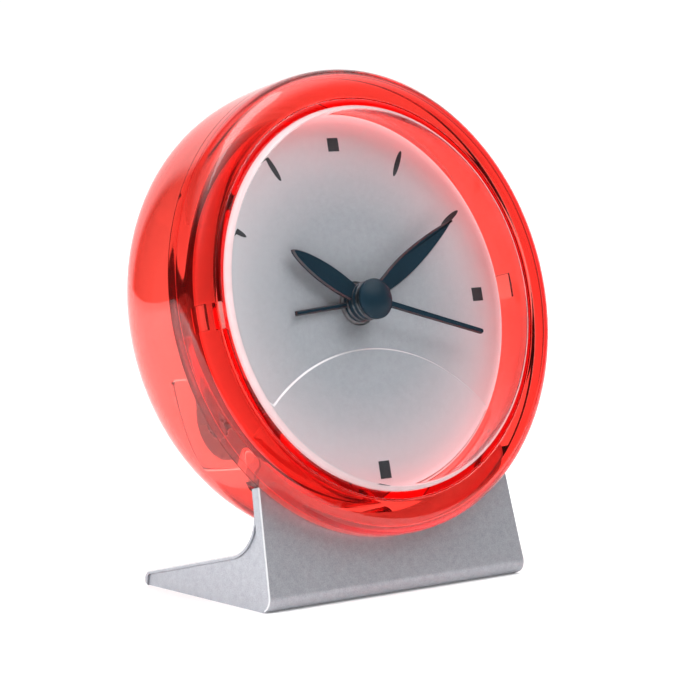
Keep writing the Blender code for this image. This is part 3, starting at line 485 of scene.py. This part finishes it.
def make_rear():
    outer, oend = rear_outer()
    inner, iend = rear_inner()
    front = SEAM_D + 0.12
    profile = [(inner[0][0], front - SCARF), (BODY_R - 0.08, front - 0.08 * SCARF / WALL), (BODY_R, front + 0.06)]
    profile += [p for p in outer if p[1] > front + 0.2] + oend + [(0, BACK_D), (0, BACK_D - WALL)]
    profile += (iend[::-1] + [p for p in inner if p[1] > front + 0.2][::-1])
    ob = new_object("rear_shell", lathe(profile))
    # openings in the flat back and the front edge
    x, y = BUZZER_XY
    for hx, hy in [(0, 0)] + [polar(3.4, 60 * i) for i in range(6)]:
        boolean(ob, disc(0.9, 24, 32, 24, (x + hx, y + hy)))
    for c in (WORKS_XY, ALARM_SET_XY):
        boolean(ob, disc(KNOB_HOLE_R, 24, 32, 64, c))
    x, y = SWITCH_XY
    boolean(ob, prism(fillet([(x - 2.0, y - 1.5, 0.4), (x + 6.0, y - 1.5, 0.4), (x + 6.0, y + 1.5, 0.4),
                              (x - 2.0, y + 1.5, 0.4)], 4), 24, 32))
    boolean(ob, prism(fillet([(-DOOR_X - DOOR_GAP, DOOR_Y0 - DOOR_GAP, 1.0), (DOOR_X + DOOR_GAP, DOOR_Y0 - DOOR_GAP, 1.0),
                              (DOOR_X + DOOR_GAP, DOOR_Y1 + DOOR_GAP, 1.0), (-DOOR_X - DOOR_GAP, DOOR_Y1 + DOOR_GAP, 1.0)], 5),
                      16, 40))
    boolean(ob, block(-28.45, 28.45, -46, -20, 2, PLATE_D1 + 0.2))
    # screw pillar
    c = SCREW_XY
    tmp = new_object("pillar", lathe([(0, 9.3), (2.3, 9.3), (2.3, 30), (0, 30)], 40, None, c))
    keep = lathe([(0, 2)] + [(p[0] + 0.4, p[1] + 0.4) for p in [(inner[0][0], 2.0)] + inner] + [(0, inner[-1][1] + 0.4)], 96)
    boolean(tmp, keep, 'INTERSECT')
    union_into(ob, tmp)
    boolean(ob, lathe([(0, 9.0), (1.2, 9.0), (1.2, SCREW_SEAT_D), (2.0, SCREW_SEAT_D), (2.0, 40), (0, 40)], 40, None, c))
    return dress(ob, RED, "case", ["rear_case"], 30)


def union_into(ob, other):
    mod = ob.modifiers.new("b", 'BOOLEAN')
    mod.operation, mod.object, mod.solver = 'UNION', other, 'EXACT'
    dg = bpy.context.evaluated_depsgraph_get()
    me = bpy.data.meshes.new_from_object(ob.evaluated_get(dg))
    old = ob.data
    ob.modifiers.clear()
    ob.data = me
    bpy.data.meshes.remove(old)
    data = other.data
    bpy.data.objects.remove(other)
    bpy.data.meshes.remove(data)


def make_door():
    ob = new_object("door", prism(fillet([(-DOOR_X, DOOR_Y0, 1.0), (DOOR_X, DOOR_Y0, 1.0), (DOOR_X, DOOR_Y1, 1.0),
                                          (-DOOR_X, DOOR_Y1, 1.0)], 5), 16, 40))
    outer, oend = rear_outer()
    inner, iend = rear_inner()
    boolean(ob, lathe([(0, 7), (BODY_R, 7)] + [p for p in outer if p[1] > 7.2] + oend + [(0, BACK_D)]), 'INTERSECT')
    boolean(ob, lathe([(0, 5), (inner[0][0], 5)] + [p for p in inner if p[1] > 7.2] + iend + [(0, BACK_D - WALL)]))
    boolean(ob, prism(fillet([(-4.5, DOOR_Y1 - 2.4, 0.5), (4.5, DOOR_Y1 - 2.4, 0.5), (4.5, DOOR_Y1 - 1.2, 0.5),
                              (-4.5, DOOR_Y1 - 1.2, 0.5)], 4), BACK_D - 0.7, 32))
    return dress(ob, RED, "door", ["battery_door"], 30)


def make_front():
    edge = [(LENS_R - LENS_EDGE + LENS_EDGE * math.sin(math.pi / 2 * i / 14),
             LENS_FRONT_D + LENS_EDGE * (1 - math.cos(math.pi / 2 * i / 14))) for i in range(15)]
    profile = [(0, LENS_FRONT_D)] + edge + [(LENS_R, LENS_BACK_D - 0.08), (LENS_R - 0.08, LENS_BACK_D), (0, LENS_BACK_D)]
    ob = new_object("lens_glass", lathe(profile, second=range(4, 16)))
    dress(ob, (LENS, LENS_RIM_PINK_LIGHT), "case", ["lens"], 40)
    ob.visible_shadow = False
    ob.visible_diffuse = False

    ring = new_object("inner_ring", lathe(fillet([(RING_R0, RING_D0, 0.1), (RING_R1, RING_D0, 0.2), (RING_R1, RING_D1, 0.1),
                                                  (RING_R0, RING_D1, 0.1)], 4)))
    boolean(ring, block(34.65, 40, -1.3, 3.2, 5.1, 10.2))
    boolean(ring, block(-40, -34.65, -2.8, 1.6, 5.1, 10.2))
    boolean(ring, block(-40, -34.65, -3.2, 1.4, 0, 3.2))
    dress(ring, RING_RED, "case", ["lens_ring"], 35)


def make_dial():
    ob = new_object("dial_face", lathe(fillet([(DIAL_HOLE_R, DIAL_D0, 0.1), (DIAL_R, DIAL_D0, 0.35), (DIAL_R, DIAL_D1, 0.1),
                                               (DIAL_HOLE_R, DIAL_D1, 0.1)], 6)))
    skirt = new_object("dial_skirt", lathe(fillet([(SKIRT_R, DIAL_D1 - 0.05), (DIAL_R, DIAL_D1 - 0.05), (DIAL_R, SKIRT_D, 0.15),
                                                   (SKIRT_R, SKIRT_D, 0.15)], 4)))
    boolean(skirt, block(-40, 40, -40, -19.5, DIAL_D1 + 0.6, 20))
    dress(skirt, SKIRT_GREY, "case", (), 30)
    cy = HILL_TOP - HILL_R
    half = math.degrees(math.acos(-cy / 2 / HILL_R))
    n, rim = 96, DIAL_R - 0.4

    def field(inset):
        r1, r2 = HILL_R - inset, rim - inset
        h = half - 0.8
        up = [(r1 * math.sin(math.radians(a)), cy + r1 * math.cos(math.radians(a)))
              for a in (h - 2 * h * i / n for i in range(n + 1))]
        lo = [(r2 * math.sin(math.radians(a)), -r2 * math.cos(math.radians(a)))
              for a in (-h + 2 * h * i / n for i in range(1, n))]
        return up + lo
    top = DIAL_D0 - HILL_RISE
    # the chamfer band takes the brighter edge material, a painted highlight
    bm = loft([[(x, y, -DIAL_D0 - 0.02) for x, y in field(0.0)], [(x, y, -DIAL_D0 + 0.08) for x, y in field(0.0)],
               [(x, y, -top) for x, y in field(0.3)]], second=(1,))
    hill = new_object("dial_field", bm)
    hill.data.transform(HEAD.inverted())
    hill.matrix_world = HEAD
    dress(hill, (DIAL_SILVER, DIAL_EDGE_HIGHLIGHT), "case", (), 20)
    ob.data.transform(HEAD.inverted())
    ob.matrix_world = HEAD
    dress(ob, DIAL_SILVER, "case", ["dial"], 25)

    marks = bmesh.new()
    for k in (0, 3, 6, 9):
        a = math.radians(90 * (k // 3))
        c, s = math.cos(a), math.sin(a)
        r0, r1 = (27.9, 31.0) if k == 6 else (27.1, 29.5)
        base = [(-1.22, r0), (1.22, r0), (1.22, r1), (-1.22, r1)]
        d = DIAL_D0 - (HILL_RISE if k == 6 else 0)
        prism([(x * c + y * s, -x * s + y * c) for x, y in base], d - 0.05, d + 0.02, marks)
    for k in (1, 2, 10, 11):
        a = math.radians(30 * k)
        c, s = math.cos(a), math.sin(a)
        base = [(0.52 * math.cos(2 * math.pi * i / 40), 28.3 + 2.6 * math.sin(2 * math.pi * i / 40)) for i in range(40)]
        prism([(x * c + y * s, -x * s + y * c) for x, y in base], DIAL_D0 - 0.05, DIAL_D0 + 0.02, marks)
    dress(new_object("hour_marks", marks), MARK_INK, "case", (), 30)


# ------------------------------------------------------------------ hands
def leaf_width(y, length, base, belly, belly_at, start, tip):
    t = (y - start) / (belly_at - start)
    if t <= 1:
        return base + (belly - base) * math.sin(max(t, 0) * math.pi / 2)
    q = (y - belly_at) / (length - belly_at)
    return belly * max(1 - q ** tip[0], 0.0) ** tip[1]


def leaf(length, base, belly, belly_at, start, tip=(1.7, 0.8), n=48):
    right = []
    for i in range(n):
        q = i / n
        y = start + (length - start) * (1 - (1 - q) ** 1.6)
        right.append((leaf_width(y, length, base, belly, belly_at, start, tip), y))
    right.append((0.0, length))
    return right + [(-x, y) for x, y in right[-2::-1]]


def bar(length, w0, w1, start, nose=0.3):
    pts = fillet([(w0, start), (w1, length, nose), (-w1, length, nose), (-w0, start)], 6)
    return pts


def inset(outline, amount):
    """Move each point of an outline inwards along its mitre."""
    out = []
    n = len(outline)
    for i in range(n):
        p, a, b = Vector(outline[i]), Vector(outline[i - 1]), Vector(outline[(i + 1) % n])
        e1, e2 = (p - a).normalized(), (b - p).normalized()
        n1, n2 = Vector((-e1.y, e1.x)), Vector((-e2.y, e2.x))
        m = n1 + n2
        k = max(0.35, 1 + n1.dot(n2))
        q = p + m * (amount / k)
        out.append((q.x, q.y))
    return out


def turn(points, clock_deg):
    a = -math.radians(clock_deg)
    c, s = math.cos(a), math.sin(a)
    return [(x * c - y * s, x * s + y * c) for x, y in points]


def blade(outline, angle, level, bm=None, step=0.34, chamfer=0.24):
    """Moulded blade: upright edge below, bright chamfer above."""
    d0, d1 = level
    loops = []
    for amount, d in ((0.05, d1), (0.0, d1 - 0.05), (0.0, d0 + step), (chamfer, d0)):
        loops.append([(x, y, -d) for x, y in turn(inset(outline, amount), angle)])
    return loft(loops, bm, second=(2,))


def collar(r, d0, d1, bore, bm=None, n=72):
    return lathe([(bore, d0), (r - 0.22, d0), (r, d0 + 0.24), (r, d1 - 0.05), (r - 0.05, d1), (bore, d1)], n, bm, second=(1,))


def make_hands():
    specs = (
        ("alarm", bar(ALARM_L, 0.5, 0.45, 2.9, 0.12), ALARM_A, LV_ALARM_HAND, (3.5, 6.35, 7.2, 2.65), "alarm_hand"),
        ("hour", leaf(HOUR_L, 1.55, 1.95, 8.0, 2.6, (1.9, 0.62)), HOUR_A, LV_HOUR_HAND, (3.45, 5.05, 6.05, 1.95), "hour_hand"),
        ("minute", leaf(MINUTE_L, 1.1, 1.85, 11.5, 2.6, (1.7, 0.8)), MINUTE_A, LV_MINUTE_HAND, (3.45, 3.95, 4.9, 1.3), "minute_hand"),
    )
    bodies = {"alarm": "alarm", "hour": "hours", "minute": "minutes"}
    for name, outline, angle, level, (r, d0, d1, bore), node in specs:
        bm = blade(outline, angle, level)
        ob = new_object(name + "_blade", collar(r, d0, d1, bore, bm))
        dress(ob, (HAND_DARK, HAND_EDGE), bodies[name], [node], 25)
    bm = blade(bar(SECOND_L, 0.62, 0.5, 1.0, 0.48), SECOND_A, LV_SECOND_HAND, chamfer=0.16)
    # cap: a shallow dome over a stepped rim
    rim, bottom = 2.45, LV_SECOND_HAND[1] + 0.05
    sphere = (CAP_R ** 2 + (rim - CAP_D) ** 2) / (2 * (rim - CAP_D))
    edge = math.asin(CAP_R / sphere)
    dome = [(sphere * math.sin(edge * i / 20), CAP_D + sphere * (1 - math.cos(edge * i / 20))) for i in range(1, 19)]
    lathe([(0, CAP_D)] + dome + fillet([(CAP_R - 0.35, rim - 0.1), (CAP_R - 0.02, rim, 0.25), (CAP_R, rim + 0.5)], 5)[1:-1]
          + [(CAP_R, rim + 0.34), (CAP_R - 0.16, rim + 0.38), (CAP_R - 0.16, rim + 0.56), (CAP_R - 0.02, rim + 0.62),
             (CAP_R, bottom - 0.1), (CAP_R - 0.1, bottom), (0.65, bottom), (0.65, 2.2), (0, 2.2)], 96, bm, second=(28,))
    ob = new_object("second_blade", bm)
    dress(ob, (HAND_DARK, HAND_EDGE), "seconds", ["second_hand"], 25)


# ------------------------------------------------------------------ stand
def stand_outline(fine=10):
    ct, st = math.cos(T), math.sin(T)

    def face(up, d):
        return (HEAD_Y + up * st + d * ct, HEAD_Z + up * ct - d * st)
    v_floor = (PLATE_D0 * st - HEAD_Z) / ct
    y_floor = face(v_floor, PLATE_D0)[0]
    half = (math.pi / 2 - T) / 2
    cy, cz = y_floor + FRONT_FILLET / math.tan(half), FRONT_FILLET
    pts = []
    for i in range(fine * 2 + 1):
        a = -math.pi / 2 - (math.pi / 2 + T) * i / (fine * 2)
        pts.append((cy + FRONT_FILLET * math.cos(a), cz + FRONT_FILLET * math.sin(a)))
    pts += [face(PLATE_TOP, PLATE_D0), face(PLATE_TOP, PLATE_D1)]
    slope = math.atan(BASE_SLOPE)
    bx, bz = BASE_TOP_Y + HEAD_Y, BASE_TOP_Z
    py, pz = face(-30, PLATE_D1)
    dy, dz = math.cos(slope), math.sin(slope)
    det = st * -dz + dy * ct
    s = ((bx - py) * -dz + dy * (bz - pz)) / det
    ky, kz = py + s * st, pz + s * ct
    oy, oz = ky + INNER_FILLET * (st + dy), kz + INNER_FILLET * (ct + dz)
    a0, a1 = math.atan2(-dz, -dy), math.atan2(-ct, -st)
    if a1 < a0:
        a1 += 2 * math.pi
    for i in range(fine * 2 + 1):
        a = a0 + (a1 - a0) * i / (fine * 2)
        pts.append((oy + INNER_FILLET * math.cos(a), oz + INNER_FILLET * math.sin(a)))
    tip = BASE_BACK_Y + HEAD_Y
    z_tip = BASE_TOP_Z + BASE_SLOPE * (BASE_BACK_Y - 1.0 - BASE_TOP_Y)
    pts += [(tip - 1.0, z_tip), (tip - 0.6, z_tip - 0.2), (tip - 0.3, z_tip - 0.5), (tip - 0.05, z_tip - 0.95), (tip, z_tip - 1.3),
            (tip - 0.05, 0.75), (tip - 0.25, 0.25), (tip - 0.7, 0.0)]
    return pts


def make_stand():
    outline = stand_outline()
    # broken edge along both sides; these chamfer faces take a lighter material, a painted highlight
    loops = []
    for side, cuts in ((-1, (0.0, 0.2)), (1, (0.2, 0.0))):
        for cut in cuts:
            shape = outline if cut else inset(outline, -0.2)
            loops.append([(side * (STAND_W / 2 - STAND_TAPER * z - cut), y, z) for y, z in shape])
    ob = new_object("stand_wedge", loft(loops, second=(0, 2)), 'world')
    # shallow pocket in each side, inside the plate and the rim of the base
    ct, st = math.cos(T), math.sin(T)

    def face(up, d):
        return (HEAD_Y + up * st + d * ct, HEAD_Z + up * ct - d * st)
    inner = outline[-29:-8]
    rim = [(y + 0.62 * math.sin(q), z - 0.62 * math.cos(q)) for (y, z), q in zip(inner, (
        -math.atan2(inner[min(i + 1, 20)][1] - inner[max(i - 1, 0)][1], -(inner[min(i + 1, 20)][0] - inner[max(i - 1, 0)][0])) + math.pi
        for i in range(21)))]
    low = (HEAD_Z - PLATE_D0 * st) / ct
    line = PLATE_D1 - 0.25
    rim = [(y, z) for y, z in rim if (y - HEAD_Y) * ct - (z - HEAD_Z) * st > line + 0.1]
    pocket = [face(-low - 2.0, line), face((rim[0][0] - HEAD_Y) * st + (rim[0][1] - HEAD_Z) * ct + 0.5, line)]
    tip = BASE_BACK_Y + HEAD_Y
    z_tip = BASE_TOP_Z + BASE_SLOPE * (BASE_BACK_Y - 1.0 - BASE_TOP_Y)
    pocket += rim + [(tip - 1.2, z_tip - 0.55), (tip - 0.9, z_tip - 0.9), (tip - 0.9, -2.0)]
    for side in (-1, 1):
        boolean(ob, loft([[(side * (STAND_W / 2 - STAND_TAPER * z - 0.45), y, z) for y, z in pocket],
                          [(side * (STAND_W / 2 - STAND_TAPER * z + 3.0), y, z) for y, z in pocket]]), 'DIFFERENCE', 'world')
    boolean(ob, disc(TONGUE_R, 3, 14, 256))
    front = PLATE_D1 + 0.05
    drum = [p for p in case_profile(-SADDLE_GAP) if p[1] > front + 0.3]
    boolean(ob, lathe([(0, front), (BODY_R + SADDLE_GAP, front)] + drum + [(0, drum[-1][1])]))
    boolean(ob, disc(0.85, 7.3, 14, 32, SCREW_XY))
    return dress(ob, (STAND_SILVER, STAND_EDGE_HIGHLIGHT), "case", ["stand"], 30)


make_bezel()
make_rear()
make_door()
make_front()
make_dial()
make_hands()
make_stand()

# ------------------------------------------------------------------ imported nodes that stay
KEEP = {
    "grey_plastic": (GREY, "movement_front_plate"),
    "black_plastic": (BLACK, "movement_housing middle_plate buzzer driver_chip alarm_switch time_set_knob alarm_set_knob"),
    "white": (WHITE, "alarm_wheel hour_wheel works_wheel third_wheel second_wheel fifth_wheel alarm_set_pinion"),
    "brass": (BRASS, "minute_pinion centre_wheel"),
    "steel": (STEEL, "stator quartz_crystal battery_spring battery_plate case_screw movement_screw_1 movement_screw_2"),
    "copper": (COPPER, "coil"),
    "board": (BOARD, "circuit_board"),
    "magnet": (MAGNET, "rotor"),
    "cell": (CELL, "battery_cell"),
}
for mat, names in KEEP.values():
    for name in names.split():
        ob = NODES[name]
        ob.data.materials.clear()
        ob.data.materials.append(mat)

# ------------------------------------------------------------------ floor, light, camera
def make_floor():
    bm = bmesh.new()
    rings = []
    seg = 96
    for r in (0.0, 0.05, 0.12, 0.25, 0.5, 1.0, 2.0, 3.5):
        if r == 0:
            rings.append([bm.verts.new((0, 0, 0))])
        else:
            rings.append([bm.verts.new((r * math.cos(2 * math.pi * j / seg), r * math.sin(2 * math.pi * j / seg), 0)) for j in range(seg)])
    for a, b in zip(rings[:-1], rings[1:]):
        for j in range(seg):
            k = (j + 1) % seg
            bm.faces.new((a[0], b[j], b[k]) if len(a) == 1 else (a[j], b[j], b[k], a[k]))
    me = bpy.data.meshes.new("floor")
    bm.to_mesh(me)
    bm.free()
    ob = bpy.data.objects.new("floor", me)
    COLL.objects.link(ob)
    m = Mat("floor_white")
    m.set(Specular_IOR_Level=0.0, Roughness=1.0, Emission_Color=(1.0, 1.0, 1.0, 1.0), Emission_Strength=0.11)
    n = m.noise(30, 2.0)
    m.link(m.ramp(n, "Fac", [(0.3, (0.90, 0.90, 0.90)), (0.7, (0.92, 0.92, 0.92))]), "Color", m.bsdf, "Base Color")
    me.materials.append(m.mat)


def make_world():
    w = bpy.data.worlds.new("studio")
    bpy.context.scene.world = w
    w.use_nodes = True
    t = w.node_tree
    t.nodes.clear()
    out = t.nodes.new("ShaderNodeOutputWorld")
    bg = t.nodes.new("ShaderNodeBackground")
    t.links.new(bg.outputs[0], out.inputs[0])
    co = t.nodes.new("ShaderNodeTexCoord")

    def lobe(direction, start, full, strength):
        dot = t.nodes.new("ShaderNodeVectorMath")
        dot.operation = 'DOT_PRODUCT'
        dot.inputs[1].default_value = direction
        t.links.new(co.outputs["Generated"], dot.inputs[0])
        m = t.nodes.new("ShaderNodeMapRange")
        m.interpolation_type = 'SMOOTHSTEP'
        for key, val in (("From Min", start), ("From Max", full), ("To Min", 0.0), ("To Max", strength)):
            m.inputs[key].default_value = val
        t.links.new(dot.outputs["Value"], m.inputs["Value"])
        return m.outputs["Result"]

    # backdrop, right side wall, large softbox above right, ceiling, room
    total = None
    for args in (((0.643, 0.766, 0.0), 0.62, 0.74, 1.0), ((0.32, -0.38, 0.87), 0.75, 0.95, 2.6),
                 ((0.996, 0.087, 0.0), 0.74, 0.86, 0.3), ((0.0, 0.0, 1.0), 0.60, 0.90, 0.9), ((0.0, 0.0, 1.0), -2.0, -1.9, 0.06)):
        value = lobe(*args)
        if total is not None:
            add = t.nodes.new("ShaderNodeMath")
            add.operation = 'ADD'
            t.links.new(total, add.inputs[0])
            t.links.new(value, add.inputs[1])
            value = add.outputs[0]
        total = value
    t.links.new(total, bg.inputs["Strength"])
    bg.inputs["Color"].default_value = (1.0, 1.0, 1.0, 1)


def make_lights():
    def panel(name, az, el, dist, size, power, target=(0, 0, 0.05)):
        light = bpy.data.lights.new(name, 'AREA')
        light.shape, light.size, light.size_y, light.energy = 'RECTANGLE', size[0], size[1], power
        ob = bpy.data.objects.new(name, light)
        a, e = math.radians(az), math.radians(el)
        p = Vector((math.sin(a) * math.cos(e), -math.cos(a) * math.cos(e), math.sin(e))) * dist + Vector(target)
        ob.location = p
        ob.rotation_euler = (Vector(target) - p).to_track_quat('-Z', 'Y').to_euler()
        COLL.objects.link(ob)
        return ob
    top = panel("top_panel", 22, 60, 1.0, (0.45, 0.7), 4.5)
    top.visible_diffuse = False
    top.visible_transmission = False
    left = panel("left_panel", -92, 14, 1.0, (0.5, 0.5), 17.0)
    left.visible_glossy = False
    left.visible_transmission = False


def make_camera():
    a, e, dist, roll = math.radians(-40.385), math.radians(6.44), 0.52443, math.radians(0.284)
    back = Vector((math.sin(a) * math.cos(e), -math.cos(a) * math.cos(e), math.sin(e)))
    right = Vector((math.cos(a), math.sin(a), 0))
    up = back.cross(right)
    r2 = right * math.cos(roll) + up * math.sin(roll)
    u2 = up * math.cos(roll) - right * math.sin(roll)
    target = Vector((0.001179, 0.0103 + HEAD_Y * MM, 0.041346))
    cam = bpy.data.cameras.new("camera")
    cam.sensor_width, cam.sensor_fit = 36.0, 'HORIZONTAL'
    cam.lens = 2960.6 / 700 * 36.0
    cam.clip_start, cam.clip_end = 0.02, 20
    ob = bpy.data.objects.new("camera", cam)
    COLL.objects.link(ob)
    m = Matrix((r2, u2, back)).transposed().to_4x4()
    m.translation = target + back * dist
    ob.matrix_world = m
    bpy.context.scene.camera = ob


make_floor()
make_world()
make_lights()
make_camera()
scene = bpy.context.scene
scene.view_settings.view_transform = 'Standard'
scene.cycles.max_bounces = 96
scene.cycles.glossy_bounces = 64
scene.cycles.transmission_bounces = 64
scene.cycles.blur_glossy = 0.1
